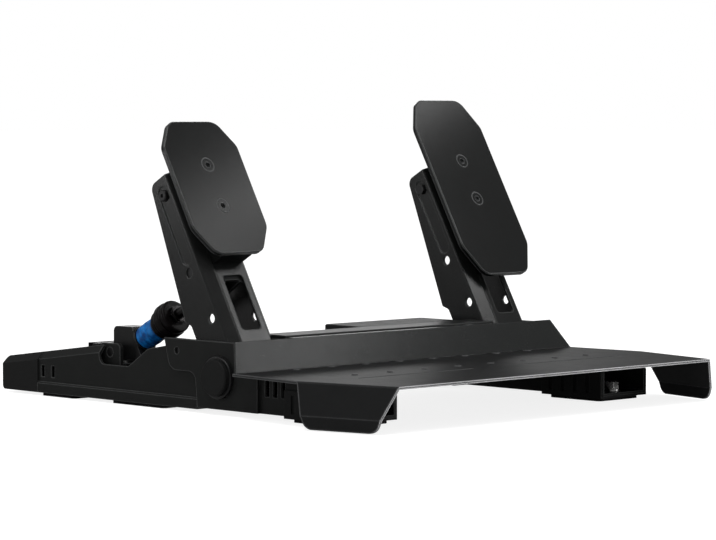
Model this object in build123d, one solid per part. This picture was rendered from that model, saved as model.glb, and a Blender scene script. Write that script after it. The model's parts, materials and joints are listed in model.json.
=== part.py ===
from build123d import *
import math
import os

# Two-pedal racing set: a brake and a throttle pedal on folded steel rails,
# tied together by a cross beam, a sloped front panel and a heel plate.
# Millimetres. X points to the driver's right, Y away from the driver, Z up.
# The origin is on the floor, under the middle of the whole set.
# Distances called "reach" are measured back from the front edge of the heel plate.

os.makedirs("parts", exist_ok=True)

# Overall
rail_spacing = 261.5
overrun = 5
slip = 0.3

# Rail section, which the widths below follow
rail_gauge = 2
rail_width = 48
rail_flange = 8
rail_tail_height = 27.3

# Heel plate and its two wings
plate_gauge = 2
plate_top = 32
plate_margin = 17.25
plate_rear_width = rail_spacing + rail_width + plate_margin * 2
plate_front_taper = 23
plate_flare_spread = 14
plate_front_width = plate_rear_width - plate_front_taper
plate_flare_width = plate_rear_width + plate_flare_spread
plate_flare_reach = 78
rail_lead = 21.5
rail_front_reach = plate_flare_reach - rail_lead
plate_tongue = 10
wing_clearance = 1
wing_fold_height = 10
wing_spread = 9
wing_front_recess = 9.5
wing_rear_recess = 14.3
wing_corner_radius = 8
wing_bend_radius = 1.5
dot_radius = 2.4
dot_height = 0.8
dot_edge = 0.5
dot_pitch = 34
dots_in_row = 8
dot_row_setback = 6
dot_row_lead = 4
groove_length = 112
groove_width = 3.2
groove_depth = 0.6
groove_lead = 14
groove_reach = plate_flare_reach - groove_lead
groove_offset = 79

# Sloped front panel
panel_gauge = 2
panel_setback = 68
panel_run = 12.2
panel_rise = 20.8
panel_crest_taper = 19.6
panel_foot_flange = 13
panel_crest_flange = 7.5
panel_screw_pitch = 56
panel_screw_count = 4
panel_screw_setback = 9.5
panel_foot_reach = plate_flare_reach + panel_setback
panel_foot_width = plate_rear_width
panel_crest_reach = panel_foot_reach + panel_run
panel_crest_height = plate_top + panel_rise
panel_crest_width = panel_foot_width - panel_crest_taper
panel_screw_reach = panel_foot_reach + panel_screw_setback
plate_rear_reach = panel_foot_reach + panel_gauge + plate_gauge
dot_row_reaches = (plate_flare_reach + dot_row_setback, panel_foot_reach - dot_row_lead)

# Pedal pivot: the axle is fixed in the arm and turns in bushes in the rail
pivot_setback = 34
pivot_reach = panel_foot_reach + pivot_setback
pivot_height = 26.5
axle_radius = 6
axle_fit = 0.04
bush_wall = 2
bush_radius = axle_radius + bush_wall
sleeve_wall = 4
sleeve_radius = axle_radius + sleeve_wall
collar_radius = 15
collar_thickness = 3
inner_ring_radius = 13
inner_ring_thickness = 5
pivot_cap_radius = 13
pivot_cap_thickness = 3.6
pivot_cap_edge = 1.4

# Load cell under the strut's rear block
trunnion_setback = 131
trunnion_reach = pivot_reach + trunnion_setback
cell_width = 20
cell_lead = 12
cell_length = 46
cell_bottom = 12
cell_height = 14
cell_top = cell_bottom + cell_height
cell_front_reach = trunnion_reach - cell_lead
cell_rear_reach = cell_front_reach + cell_length
cell_hole_radius = 4.5
cell_hole_pitch = 9
cell_waist = 3
clamp_inset = 2
clamp_depth = 13.5
clamp_rear_reach = cell_rear_reach - clamp_inset
clamp_front_reach = clamp_rear_reach - clamp_depth
clamp_width = 24
clamp_height = 15.5
clamp_top = cell_top + clamp_height
clamp_slot_width = 4.5
clamp_slot_depth = 13
clamp_slot_inset = 1.5
clamp_edge = 1
clamp_bolt_radius = 2
clamp_bolt_inset = 3.7
clamp_bolt_pitch = 13
clamp_bolt_head_radius = 3
clamp_bolt_head_height = 3
clamp_bolt_hex_radius = 1.6
clamp_bolt_hex_depth = 1.5

# Places along the rails
slope_setback = 59
rail_slope_reach = pivot_reach + slope_setback
rail_crest_drop = 1.3
rail_high_top = panel_crest_height - rail_crest_drop
rail_low_top = plate_top - plate_gauge
cover_setback = 7
cover_length = 34
cover_front_reach = cell_rear_reach + cover_setback
cap_front_reach = cover_front_reach + cover_length
cap_length = 42
cap_wall = 1.5
cap_space = 4.5
overall_reach = cap_front_reach + cap_length
rail_rear_reach = overall_reach - cap_wall - cap_space

# Window in each rail's walls, behind a shelf and under the rear lips
lip_height = 5.5
lip_inset = 4.5
lip_setback = 4
lip_front_reach = trunnion_reach + lip_setback
shelf_gap = 1
shelf_length = 20
shelf_front_drop = 6
shelf_rear_drop = 9.5
shelf_front_reach = rail_slope_reach + shelf_gap
shelf_rear_reach = shelf_front_reach + shelf_length
window_run = 22
window_front_reach = shelf_rear_reach + window_run
window_floor = 28
window_corner = 6

# Slots, holes and tabs of the rails
louvre_width = 4.5
louvre_height = 12
louvre_bottom = 16
louvre_pitch = 8
louvre_count = 3
louvre_lead = 12.5
louvre_reaches = [panel_foot_reach - louvre_lead - index * louvre_pitch for index in range(louvre_count)]
rig_hole_radius = 3.3
rig_hole_lead = 45
rig_hole_setback = 49
rig_hole_reaches = (pivot_reach - rig_hole_lead, pivot_reach + rig_hole_setback)
tab_length = 13
tab_width = 16
tab_front_lead = 6
tab_rear_lead = 12
tab_reaches = (plate_flare_reach - tab_front_lead, panel_foot_reach - tab_rear_lead)
tail_slot_width = 4
tail_slot_height = 8.5
tail_slot_bottom = 14.5
tail_slot_pitch = 12
tail_slot_lead = 5
tail_slot_reaches = (cap_front_reach - tail_slot_lead - tail_slot_pitch, cap_front_reach - tail_slot_lead)

# Tray under the rear half of each rail
pad_height = 2.5
tray_gauge = 1.5
rail_bottom = pad_height + tray_gauge
tray_setback = 25
tray_front_reach = pivot_reach + tray_setback
tray_rear_reach = cap_front_reach
tray_side = 8.5
tray_height = pad_height + tray_side
tray_bevel = 1.4

# Rear covers and end caps
cover_gauge = 2
cap_corner = 3

# Feet and rubber pads, which everything stands on
pad_side_inset = 2
pad_width = rail_width - pad_side_inset * 2
pad_corner = 4
pad_inset = 4
foot_gap = 0.5
foot_length = 58
foot_front_reach = rail_front_reach + foot_gap
foot_rear_reach = foot_front_reach + foot_length
foot_side = 19.5
foot_top = pad_height + foot_side
foot_wall = 1.6
foot_slot_width = 4
foot_slot_depth = 1
foot_slot_rise = 3.5
foot_slot_drop = 3
foot_slot_bottom = pad_height + foot_slot_rise
foot_slot_top = foot_top - foot_slot_drop
foot_slot_lead = 11
foot_slot_pitch = 12
foot_slot_count = 4
middle_pad_setback = 40
middle_pad_length = 59
rear_pad_length = 40
foot_bolt_inset = 12
foot_bolt_reach = foot_front_reach + foot_bolt_inset
foot_bolt_radius = 5.5
foot_bolt_height = 5.5
foot_washer_radius = 6.5
foot_washer_thickness = 1.5

# Screws and studs used in several places
screw_head_radius = 4.2
screw_head_height = 2.2
screw_shank_radius = 2.4
screw_socket_radius = 1.6
screw_socket_depth = 1.2
stud_radius = 2.5
stud_length = 6
nut_radius = 4.4
nut_height = 3.2

# Cheek plate on the outside of each rail
cheek_gauge = 2.5
cheek_lead = 5
cheek_front_reach = panel_foot_reach - cheek_lead
cheek_tray_gap = 1.5
cheek_low_reach = tray_front_reach - cheek_tray_gap
cheek_low_lean = 2.5
cheek_low_radius = 7
cheek_step_lead = 6
cheek_step_reach = rail_slope_reach - cheek_step_lead
cheek_step_height = 29
cheek_radius = 9

# Pedal arms, in their own upright frame with the pivot at the origin
arm_lean = 29.5
arm_gauge = 2
arm_side_gap = 0.5
arm_width = rail_width - rail_gauge * 2 - arm_side_gap * 2
arm_bend_inset = 7.5
arm_web_width = arm_width - arm_bend_inset * 2
arm_web_front = 20.5
arm_ridge_front = 14
arm_web_bottom = 5
arm_top = 154
arm_top_depth = 3.8
arm_taper = 8.2
arm_notch_height = 47
arm_notch_rise = 5
arm_top_radius = 6
arm_bend_radius = 1.2
arm_window_width = 18.5
arm_window_bottom = 26
arm_window_top = 69
arm_window_radius = 3
arm_pocket_width = 10
arm_pocket_depth = 0.7
arm_pocket_front = 5.4
arm_pocket_bottom = 86
arm_pocket_top = 148
arm_pin_hole_radius = 3.4
arm_low_hole = (7.8, 42.1)
arm_mid_hole = (2.6, 80.7)
arm_high_hole = (5.2, 141.2)

# Face plates
face_thickness = 4
face_screw_height = 132.5
face_screw_pitch = 33
face_screw_head_radius = 5.6
face_screw_shank_radius = 3
face_hex_radius = 2.3
face_hex_depth = 2.2
face_edge = 0.7
face_corner_radius = 11
face_chamfer_width = 13
spacer_thickness = 12
spacer_inset = 0.5
spacer_width = arm_web_width - spacer_inset * 2
spacer_bottom = 78.4
spacer_top = 150
brake_face_width = 70
brake_face_length = 106
brake_face_centre = 131.5
brake_face_chamfer = 20.5
throttle_face_width = 73
throttle_face_length = 152
throttle_face_centre = 127
throttle_face_chamfer = 25

# Stops across each rail
stop_pin_radius = 2.5
stop_sleeve_wall = 2
stop_sleeve_radius = stop_pin_radius + stop_sleeve_wall
end_stop_setback = 45.5
end_stop_drop = 8.5
end_stop_reach = pivot_reach + end_stop_setback
end_stop_height = rail_high_top - end_stop_drop
rest_stop_along = 8
stop_pin_recess = 1

# Brake strut: from the trunnions of its rear block up to the lug inside the arm
trunnion_rise = 10.5
trunnion_height = cell_top + trunnion_rise
strut_pin_setback = 37.5
strut_pin_rise = 58.5
strut_pin_reach = pivot_reach + strut_pin_setback
strut_pin_height = pivot_height + strut_pin_rise
barrel_width = 16
barrel_depth = 40
barrel_rear = 6.5
barrel_rise = 18.5
barrel_drop = 5.5
barrel_front = 20.6
barrel_corner = 4
barrel_edge = 1.5
trunnion_radius = 3.5
trunnion_fit = 0.04
rod_radius = 4
rod_fit = 0.1
rod_start = 1.5
clip_radius = 6
clip_thickness = 1.2
elastomer_radius = 9.2
elastomer_length = 20
elastomer_edge = 1.2
washer_radius = 9.4
washer_thickness = 1.6
ring_radii = (11.3, 13.2, 12.6)
ring_lengths = (6, 7, 5)
ring_edge = 1.8
jam_nut_radius = 7
jam_nut_thickness = 3
strut_eye_radius = 8
strut_eye_width = 12
strut_pin_radius = 4
strut_pin_play = 0.6
lug_gauge = 3
lug_play = 0.5
lug_gap = strut_eye_width + lug_play * 2
lug_top = 7
lug_bottom = 5
lug_nose = 7
lug_nose_radius = 5

# Ears on the load cell's free end
ear_gauge = 3
ear_side_gap = 0.5
ear_gap = rail_width - (lip_inset + rail_gauge + ear_side_gap + ear_gauge) * 2
ear_width = 23
ear_cap = 6.5
ear_top = trunnion_height + ear_cap
ear_corner = 4
ear_foot_thickness = 2.5
ear_screw_radius = 2
ear_screw_head_radius = 3.6
ear_screw_length = 10
ear_screw_inset = 4
ear_screw_pitch = 11

# Throttle return spring, magnet and angle sensor
half_turn = 180
coil_wire = 2.2
coil_clearance = 1.5
coil_radius = sleeve_radius + coil_clearance + coil_wire / 2
coil_turns = 5
coil_pitch = 3.1
coil_arm_leg = 19
coil_floor_leg = 18
coil_arm_angle = 15
coil_floor_angle = 64
coil_samples = 96
magnet_radius = 3.6
magnet_thickness = 2.4
sensor_gap = 1.2
sensor_half_depth = 9.5
sensor_half_height = 11.5
sensor_thickness = 10
sensor_wall = 2
sensor_corner = 3
sensor_bore = 6.4
board_gauge = 1.6

# Cross beam and controller box
beam_gauge = 2
beam_lead = 14
beam_depth = 24
beam_height = 13
beam_proud = 1.2
beam_front_reach = pivot_reach - beam_lead
beam_rear_reach = beam_front_reach + beam_depth
beam_top = panel_crest_height + beam_proud
beam_bottom = beam_top - beam_height
box_wall = 2
box_side_gap = 10.75
box_width = 104
box_depth = 42
box_height = 24
box_right = rail_spacing / 2 - rail_width / 2 - box_side_gap
box_left = box_right - box_width
box_rear_reach = beam_rear_reach + box_depth
box_top = beam_top
box_bottom = box_top - box_height
box_lid_gauge = 2.5
box_lid_lip = 1.5
box_corner = 4
box_boss_radius = 3
box_boss_height = 4
box_screw_pitch = 48
socket_pitch = 22
socket_count = 3
socket_mouth_width = 11
socket_mouth_height = 8.4
socket_depth = 9
socket_wall = 1.6
socket_proud = 0.8


def at(reach):
    """Row-frame Y of a place this far behind the heel plate's front edge."""
    return reach - overall_reach / 2


def block(x0, x1, y0, y1, z0, z1):
    return Pos(x0, y0, z0) * Box(x1 - x0, y1 - y0, z1 - z0, align=(Align.MIN, Align.MIN, Align.MIN))


def corner_face(points, radii=None):
    """A flat outline, with a radius on each corner that is given one."""
    face = make_face(Polyline(*points, close=True))
    if radii:
        for point, radius in zip(points, radii):
            if radius:
                corner = face.vertices().sort_by_distance((point[0], point[1], 0))[0]
                face = fillet(corner, radius)
    return face


def side_prism(points, x0, x1, radii=None):
    """An outline in Y and Z, carried along X."""
    return extrude(Plane.YZ.offset(x0) * corner_face(points, radii), x1 - x0)


def flat_prism(points, z0, z1, radii=None):
    """An outline in X and Y, carried up Z."""
    return extrude(Plane.XY.offset(z0) * corner_face(points, radii), z1 - z0)


def cross_rod(reach, height, x0, x1, radius):
    """A round bar along X."""
    middle = (x0 + x1) / 2
    return Pos(middle, at(reach), height) * Rot(0, 90, 0) * Cylinder(radius, x1 - x0)


def upright_rod(x, y, z0, z1, radius):
    return Pos(x, y, z0) * Cylinder(radius, z1 - z0, align=(Align.CENTER, Align.CENTER, Align.MIN))


def bar(radius, start, end):
    """A round bar along Z of a local frame."""
    return Pos(0, 0, start) * Cylinder(radius, end - start, align=(Align.CENTER, Align.CENTER, Align.MIN))


def module(shape, side):
    """Puts a rail part, drawn with +X outboard, on the left (-1) or the right (1)."""
    if side < 0:
        shape = mirror(shape, about=Plane.YZ)
    return Pos(side * rail_spacing / 2, 0, 0) * shape


def as_group(shapes):
    solids = []
    for shape in shapes:
        solids.extend(shape.solids())
    return Compound(children=solids)


def write(name, shape):
    shape.label = name
    export_step(shape, "parts/" + name + ".step")


# Heel plate

def wing(side):
    """The folded flange at one side: sloped, then upright, with slanted ends."""
    front = Vector(side * plate_front_width / 2, at(0), 0)
    flare = Vector(side * plate_flare_width / 2, at(plate_flare_reach), 0)
    along = (flare - front).normalized()
    drop = plate_top - wing_fold_height
    slant = math.hypot(wing_spread, drop)
    inward_x = -plate_gauge * drop / slant
    inward_z = -plate_gauge * wing_spread / slant
    fold_step = (wing_spread - plate_gauge - inward_x) / wing_spread
    seat_step = (plate_gauge + inward_z) / drop
    inner_fold = (wing_spread - plate_gauge, plate_top + inward_z - fold_step * drop)
    inner_seat = (inward_x + seat_step * wing_spread, plate_top - plate_gauge)
    profile = [(0, plate_top), (wing_spread, wing_fold_height), (wing_spread, wing_clearance),
               (wing_spread - plate_gauge, wing_clearance), inner_fold, inner_seat,
               (inner_seat[0] - plate_gauge, plate_top - plate_gauge), (-plate_gauge, plate_top)]
    if side < 0:
        profile = [(-x, z) for x, z in profile]
    frame = Plane(origin=front, x_dir=Vector(along.Y, -along.X, 0), z_dir=-along)
    length = (flare - front).length
    face = make_face(Polyline(*profile, close=True))
    strip = extrude(frame * face, -(length + overrun)) + extrude(frame * face, overrun)
    ends = [(at(0), plate_top), (at(plate_flare_reach), plate_top),
            (at(plate_flare_reach - wing_rear_recess), wing_clearance),
            (at(wing_front_recess), wing_clearance)]
    reach_x = plate_flare_width
    return strip & side_prism(ends, -reach_x, reach_x, (0, 0, wing_corner_radius, wing_corner_radius))


def heel_plate():
    half_front = plate_front_width / 2
    half_flare = plate_flare_width / 2
    half_rear = plate_rear_width / 2
    outline = [(-half_front, at(0)), (half_front, at(0)), (half_flare, at(plate_flare_reach)),
               (half_rear, at(plate_rear_reach)), (-half_rear, at(plate_rear_reach)),
               (-half_flare, at(plate_flare_reach))]
    plate = flat_prism(outline, plate_top - plate_gauge, plate_top)
    inner_half = rail_spacing / 2 - rail_width / 2
    plate += block(-inner_half + slip, inner_half - slip, at(plate_rear_reach),
                   at(plate_rear_reach + plate_tongue), plate_top - plate_gauge, plate_top)
    plate += wing(-1) + wing(1)
    outer_bends = [edge for edge in plate.edges()
                   if abs(edge.center().Z - plate_top) < slip and abs(edge.center().X) > half_front
                   and edge.center().Y < at(plate_flare_reach) and edge.length > plate_flare_reach - overrun]
    plate = fillet(outer_bends, wing_bend_radius)
    for side in (-1, 1):
        groove = Pos(side * groove_offset, at(groove_reach), plate_top - groove_depth) * extrude(
            SlotOverall(groove_length, groove_width), groove_depth + overrun)
        plate -= groove
    dot = bar(dot_radius, -dot_edge, dot_height)
    dot = fillet(dot.edges().group_by(Axis.Z)[-1], dot_edge)
    first = -dot_pitch * (dots_in_row - 1) / 2
    for reach in dot_row_reaches:
        for index in range(dots_in_row):
            plate += Pos(first + index * dot_pitch, at(reach), plate_top) * dot
    for x in panel_screw_places():
        plate -= upright_rod(x, at(panel_screw_reach), 0, plate_top + overrun, screw_shank_radius)
    return plate


def tab_centres(side):
    x = side * (rail_spacing / 2 - rail_width / 2 - tab_length / 2)
    return [(x, at(reach)) for reach in tab_reaches]


def plate_studs():
    """Weld studs under the heel plate, each with its nut below the rail's tab."""
    seat = rail_low_top - rail_gauge
    studs = []
    for side in (-1, 1):
        for x, y in tab_centres(side):
            stud = upright_rod(x, y, rail_low_top - stud_length, rail_low_top, stud_radius)
            nut = Pos(x, y, seat - nut_height) * extrude(RegularPolygon(nut_radius, 6), nut_height)
            studs.append(stud + nut)
    return as_group(studs)


# Front panel

def panel_skin(foot, crest, x_foot, x_crest, thickness):
    """The sloped face as a slab behind its front surface."""
    corners = [(-x_foot, foot[0], foot[1]), (x_foot, foot[0], foot[1]),
               (x_crest, crest[0], crest[1]), (-x_crest, crest[0], crest[1])]
    face = make_face(Polyline(*corners, close=True))
    normal = face.faces()[0].normal_at()
    away = thickness if normal.Y > 0 else -thickness
    return extrude(face, away)


def front_panel():
    foot = (at(panel_foot_reach), plate_top)
    crest = (at(panel_crest_reach), panel_crest_height)
    skin = panel_skin(foot, crest, panel_foot_width / 2, panel_crest_width / 2, panel_gauge)
    inner_half = rail_spacing / 2 - rail_width / 2
    crest_flange = block(-inner_half, inner_half, crest[0], crest[0] + panel_crest_flange,
                         panel_crest_height - panel_gauge, panel_crest_height)
    foot_flange = block(-inner_half, inner_half, foot[0] + panel_gauge, foot[0] + panel_foot_flange,
                        plate_top, plate_top + panel_gauge)
    panel = (skin + crest_flange + foot_flange) & block(
        -panel_foot_width, panel_foot_width, foot[0] - overrun, crest[0] + panel_crest_flange,
        plate_top, panel_crest_height)
    for x in panel_screw_places():
        panel -= upright_rod(x, at(panel_screw_reach), 0, plate_top + panel_gauge, screw_shank_radius)
    return panel


def panel_screw_places():
    first = -panel_screw_pitch * (panel_screw_count - 1) / 2
    return [first + index * panel_screw_pitch for index in range(panel_screw_count)]


def button_screw(length):
    """A button-head screw pointing down, its head seated at the origin."""
    head = bar(screw_head_radius, 0, screw_head_height)
    head = fillet(head.edges().group_by(Axis.Z)[-1], screw_head_height / 2)
    head -= Pos(0, 0, screw_head_height - screw_socket_depth) * extrude(
        RegularPolygon(screw_socket_radius, 6), screw_head_height)
    return head + bar(screw_shank_radius, -length, 0)


def housing_screws():
    """Screws through the panel's foot flange, and from the beam into the controller box."""
    found = []
    for x in panel_screw_places():
        screw = button_screw(panel_gauge + plate_gauge + stud_radius)
        found.append(Pos(x, at(panel_screw_reach), plate_top + panel_gauge) * screw)
    for x in box_screw_places():
        screw = button_screw(beam_gauge + box_wall)
        found.append(Pos(x, at(beam_rear_reach - beam_gauge), beam_bolt_height()) * Rot(90, 0, 0) * screw)
    return as_group(found)


# Rails and what is fixed on them

def wall_top(reach):
    """Height of the rail's sloped rear edge."""
    fall = (rail_high_top - rail_tail_height) / (overall_reach - rail_slope_reach)
    return rail_high_top - fall * (reach - rail_slope_reach)


def panel_back(height):
    """Reach of the panel's inner surface at this height."""
    rise = panel_crest_height - plate_top
    run = panel_crest_reach - panel_foot_reach
    level = panel_gauge * math.hypot(rise, run) / rise
    return panel_foot_reach + level + run * (height - plate_top) / rise


def step_behind_panel():
    """The walls' front edge from the panel's crest down to the heel plate's rear edge."""
    return [(at(panel_back(rail_high_top) + slip), rail_high_top),
            (at(plate_rear_reach + slip), plate_top + slip), (at(plate_rear_reach + slip), rail_low_top)]


def wall_outline():
    return [(at(rail_front_reach), rail_bottom), (at(rail_rear_reach), rail_bottom),
            (at(rail_rear_reach), wall_top(rail_rear_reach) - lip_height),
            (at(lip_front_reach), wall_top(lip_front_reach) - lip_height),
            (at(lip_front_reach), wall_top(lip_front_reach)),
            (at(rail_slope_reach), rail_high_top)] + step_behind_panel() + [
            (at(rail_front_reach), rail_low_top)]


def cross_slots(reaches, width, bottom, height, x0, x1):
    """Upright slots through a wall, as one cutter."""
    cutter = None
    for reach in reaches:
        slot = block(x0, x1, at(reach - width / 2), at(reach + width / 2), bottom, bottom + height)
        cutter = slot if cutter is None else cutter + slot
    return cutter


def rail(side):
    """A folded channel: floor, two walls, folded flanges, lips and tabs."""
    half = rail_width / 2
    inner = half - rail_gauge
    floor = rail_bottom + rail_gauge
    shape = block(-half, half, at(rail_front_reach), at(rail_rear_reach), rail_bottom, floor)
    for x in (-half, inner):
        shape += side_prism(wall_outline(), x, x + rail_gauge)
    run = cap_front_reach - lip_front_reach
    slope = Vector(0, run, wall_top(cap_front_reach) - wall_top(lip_front_reach))
    low = wall_top(lip_front_reach) - lip_height
    for edge in (-1, 1):
        section = [(edge * half, low), (edge * (half - lip_inset), low + lip_height),
                   (edge * (half - lip_inset - rail_gauge), low + lip_height - rail_gauge / 2),
                   (edge * inner, low - rail_gauge), (edge * half, low - rail_gauge)]
        face = Plane.XZ.offset(-at(lip_front_reach)) * make_face(Polyline(*section, close=True))
        shape += extrude(face, amount=slope.length, dir=slope)
        x0, x1 = sorted((edge * half, edge * (half - rail_flange)))
        shape += block(x0, x1, at(rail_front_reach), at(plate_rear_reach + slip),
                       rail_low_top - rail_gauge, rail_low_top)
    for reach in tab_reaches:
        shape += block(-half - tab_length, -half, at(reach - tab_width / 2), at(reach + tab_width / 2),
                       rail_low_top - rail_gauge, rail_low_top)
        shape -= upright_rod(-half - tab_length / 2, at(reach), floor, rail_low_top + overrun, stud_radius)
    shape -= side_prism(window_outline(), -half - overrun, half + overrun,
                        (window_corner, window_corner, 0, 0, 0, window_corner))
    shape -= cross_slots(louvre_reaches, louvre_width, louvre_bottom, louvre_height,
                         -half - overrun, half + overrun)
    shape -= cross_slots(tail_slot_reaches, tail_slot_width, tail_slot_bottom, tail_slot_height,
                         -half - overrun, half + overrun)
    for reach in rig_hole_reaches:
        shape -= upright_rod(0, at(reach), 0, floor + overrun, rig_hole_radius)
    shape -= upright_rod(0, at(foot_bolt_reach), 0, floor + overrun, stud_radius)
    shape -= cross_rod(pivot_reach, pivot_height, -half - overrun, half + overrun, bush_radius)
    for reach, height in (end_stop_place(), rest_stop_place()):
        shape -= cross_rod(reach, height, -half - overrun, half + overrun, stop_pin_radius)
    shape -= cross_rod(beam_bolt_reach(), beam_bolt_height(), -half - overrun, -inner + slip, stud_radius)
    return module(shape, side)


def window_outline():
    """The part cut out of both walls: a step down to a shelf, a slant and the window's floor."""
    above = rail_high_top + overrun
    return [(at(window_front_reach), window_floor), (at(lip_front_reach), window_floor),
            (at(lip_front_reach), above), (at(shelf_front_reach), above),
            (at(shelf_front_reach), rail_high_top - shelf_front_drop),
            (at(shelf_rear_reach), rail_high_top - shelf_rear_drop)]


def end_stop_place():
    return end_stop_reach, end_stop_height


def rest_stop_place():
    """Just in front of the arm's web, so that the sleeve holds the arm at rest."""
    forward = arm_web_front + stop_sleeve_radius + slip
    lean = math.radians(arm_lean)
    reach = pivot_reach + rest_stop_along * math.sin(lean) - forward * math.cos(lean)
    height = pivot_height + rest_stop_along * math.cos(lean) + forward * math.sin(lean)
    return reach, height


def beam_bolt_reach():
    return (beam_front_reach + beam_rear_reach) / 2


def beam_bolt_height():
    return (beam_bottom + beam_top) / 2


def tray(side):
    """A shallow skid round the rail's underside, with a bevelled upper edge."""
    half = rail_width / 2
    outer = half + tray_gauge
    section = [(-outer, rail_bottom - tray_gauge), (outer, rail_bottom - tray_gauge),
               (outer, tray_height - tray_bevel), (half, tray_height), (half, rail_bottom),
               (-half, rail_bottom), (-half, tray_height), (-outer, tray_height - tray_bevel)]
    face = Plane.XZ.offset(-at(tray_front_reach)) * make_face(Polyline(*section, close=True))
    shape = extrude(face, tray_front_reach - tray_rear_reach)
    for reach in rig_hole_reaches:
        shape -= upright_rod(0, at(reach), 0, rail_bottom + overrun, rig_hole_radius)
    return module(shape, side)


def rear_cover(side):
    """The flat lid between the rail's two folded lips, with a flap down its front."""
    half = rail_width / 2 - lip_inset - rail_gauge
    top_front = wall_top(cover_front_reach)
    top_rear = wall_top(cap_front_reach)
    lid = [(at(cover_front_reach), top_front - cover_gauge), (at(cap_front_reach), top_rear - cover_gauge),
           (at(cap_front_reach), top_rear), (at(cover_front_reach), top_front)]
    flap = [(at(cover_front_reach), window_floor), (at(cover_front_reach) + cover_gauge, window_floor),
            (at(cover_front_reach) + cover_gauge, top_front - cover_gauge),
            (at(cover_front_reach), top_front - cover_gauge)]
    return module(side_prism(lid, -half, half) + side_prism(flap, -half, half), side)


def end_cap(side):
    """A moulded cap over the rail's rear end, bevelled like the rail's lips."""
    half = rail_width / 2
    outer = half + tray_gauge
    front = at(cap_front_reach)
    rear = at(overall_reach)
    low = rail_bottom - tray_gauge
    top_front = wall_top(cap_front_reach)
    top_rear = wall_top(overall_reach)
    run = Vector(0, rear - front, top_rear - top_front)
    section = [(-outer, top_front - lip_height), (outer, top_front - lip_height),
               (half - lip_inset + slip, top_front), (-half + lip_inset - slip, top_front)]
    roof = extrude(Plane.XZ.offset(-front) * make_face(Polyline(*section, close=True)),
                   amount=run.length, dir=run)
    walls = side_prism([(front, low), (rear, low), (rear, top_rear - lip_height),
                        (front, top_front - lip_height)], -outer, outer)
    rounded = side_prism([(front, low), (rear, low), (rear, top_rear), (front, top_front)],
                         -outer, outer, (0, cap_corner, cap_corner, 0))
    shell = (roof + walls) & rounded
    back = at(rail_rear_reach)
    top_back = wall_top(rail_rear_reach)
    shell -= side_prism([(front, rail_bottom), (back, rail_bottom), (back, top_back - lip_height),
                         (front, top_front - lip_height)], -half, half)
    inner = half - lip_inset - cap_wall
    shell -= side_prism([(front, rail_bottom), (back, rail_bottom), (back, top_back - cap_wall),
                         (front, top_front - cap_wall)], -inner, inner)
    return module(shell, side)


def cheek_outline():
    return [(at(cheek_front_reach), rail_bottom), (at(cheek_low_reach), rail_bottom),
            (at(cheek_low_reach + cheek_low_lean), cheek_step_height),
            (at(cheek_step_reach), cheek_step_height),
            (at(rail_slope_reach), rail_high_top)] + step_behind_panel() + [
            (at(cheek_front_reach), rail_low_top)]


def cheek(side):
    """The outer plate that carries the pivot, with its swept lower rear edge."""
    inner = rail_width / 2
    outer = inner + cheek_gauge
    radii = (0, 0, cheek_low_radius, cheek_radius, 0, 0, 0, 0, 0)
    shape = side_prism(cheek_outline(), inner, outer, radii)
    shape -= cross_rod(pivot_reach, pivot_height, inner - overrun, outer + overrun, bush_radius)
    shape -= cross_rod(end_stop_reach, end_stop_height, inner - overrun, outer + overrun, stop_pin_radius)
    return module(shape, side)


def front_foot(side):
    """A ribbed moulding clamped under the rail's front end."""
    half = rail_width / 2
    outer = half + foot_wall
    front = at(foot_front_reach)
    rear = at(foot_rear_reach)
    shape = block(-outer, outer, front, rear, pad_height, foot_top)
    shape -= block(-half, half, front - overrun, rear + overrun, rail_bottom, foot_top + overrun)
    shape -= upright_rod(0, at(foot_bolt_reach), 0, rail_bottom + overrun, stud_radius)
    for x in (-outer - overrun, outer - foot_slot_depth):
        for index in range(foot_slot_count):
            y = front + foot_slot_lead + index * foot_slot_pitch
            shape -= block(x, x + foot_slot_depth + overrun, y, y + foot_slot_width,
                           foot_slot_bottom, foot_slot_top)
    return module(shape, side)


def foot_bolt(side):
    """A hexagon bolt and its washer on the rail's floor, holding the foot."""
    seat = rail_bottom + rail_gauge
    crown = seat + foot_washer_thickness
    y = at(foot_bolt_reach)
    bolt = upright_rod(0, y, pad_height, crown, stud_radius)
    bolt += upright_rod(0, y, seat, crown, foot_washer_radius)
    bolt += Pos(0, y, crown) * extrude(RegularPolygon(foot_bolt_radius, 6), foot_bolt_height)
    return module(bolt, side)


def pad_spans():
    """Where each rubber pad starts and ends along the rail."""
    middle = tray_front_reach + middle_pad_setback
    return ((foot_front_reach + pad_inset, foot_rear_reach - pad_inset),
            (middle, middle + middle_pad_length), (cap_front_reach - rear_pad_length, cap_front_reach))


def pads(side):
    """Rubber pads under one rail."""
    half = pad_width / 2
    found = []
    for start, end in pad_spans():
        outline = [(-half, at(start)), (half, at(start)), (half, at(end)), (-half, at(end))]
        found.append(flat_prism(outline, 0, pad_height, [pad_corner] * len(outline)))
    return module(as_group(found), side)


# Pivots

def pivot_tube(x0, x1, outer_radius, bore_radius):
    tube = cross_rod(pivot_reach, pivot_height, x0, x1, outer_radius)
    return tube - cross_rod(pivot_reach, pivot_height, x0 - overrun, x1 + overrun, bore_radius)


def collar_face():
    """How far out the collar's outer face lies from the rail's centre."""
    return rail_width / 2 + cheek_gauge + collar_thickness


def inner_ring_face():
    return rail_width / 2 + inner_ring_thickness


def axle(side):
    shaft = cross_rod(pivot_reach, pivot_height, -inner_ring_face(), collar_face() - slip, axle_radius)
    return module(shaft, side)


def pivot_sleeve(side):
    """Tube welded across the arm, fixed to the axle."""
    half = arm_width / 2
    return module(pivot_tube(-half, half, sleeve_radius, axle_radius), side)


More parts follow.
